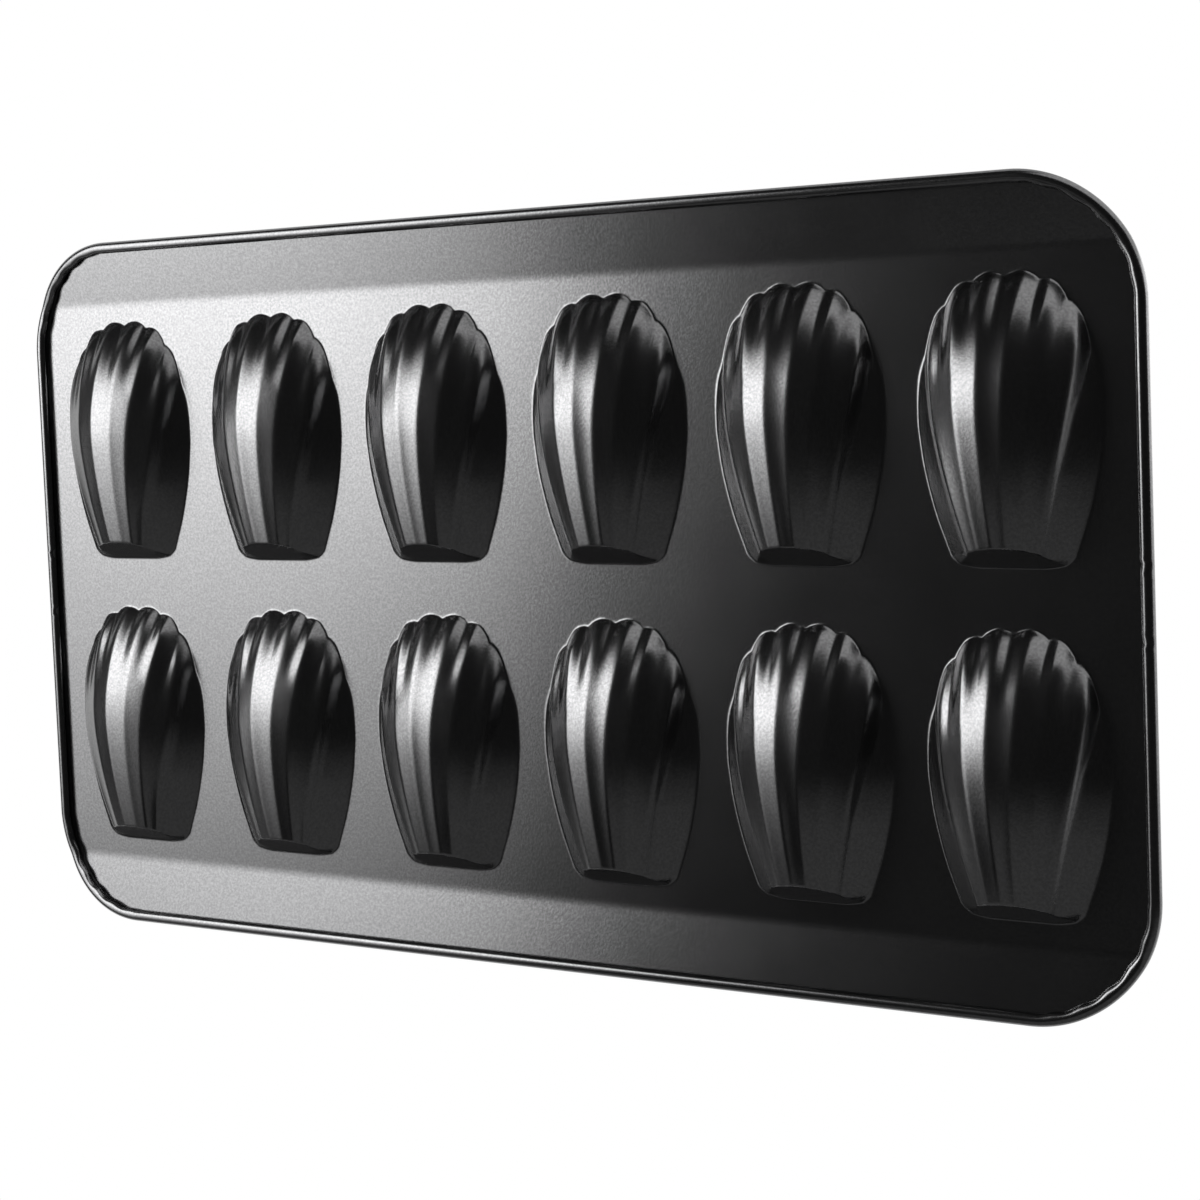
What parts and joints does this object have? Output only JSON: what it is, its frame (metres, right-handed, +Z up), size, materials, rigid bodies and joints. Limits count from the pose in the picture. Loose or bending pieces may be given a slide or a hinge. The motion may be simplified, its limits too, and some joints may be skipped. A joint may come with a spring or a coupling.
{
  "type": "madeleine pan",
  "caption": "Rectangular sheet metal baking pan with two rows of fluted shell moulds and a rim rolled round a wire.",
  "frame": {"origin": "under the middle of the pan, on the surface that the shells stand on", "axes": "+Z up out of the cavities, +X along the long side, +Y towards the scalloped ends of the shells"},
  "size_m": [0.38, 0.222, 0.0151],
  "materials": {
    "coated_steel": "dark grey non-stick coating with a fine speckle, satin gloss",
    "rim_wire": "drawn wire, bare"
  },
  "bodies": {
    "root": {"deck": "coated_steel", "mould_shell_01": "coated_steel", "mould_shell_02": "coated_steel", "mould_shell_03": "coated_steel", "mould_shell_04": "coated_steel", "mould_shell_05": "coated_steel", "mould_shell_06": "coated_steel", "mould_shell_07": "coated_steel", "mould_shell_08": "coated_steel", "mould_shell_09": "coated_steel", "mould_shell_10": "coated_steel", "mould_shell_11": "coated_steel", "mould_shell_12": "coated_steel", "rolled_rim": "coated_steel", "rim_wire": "rim_wire"}
  },
  "joints": []
}
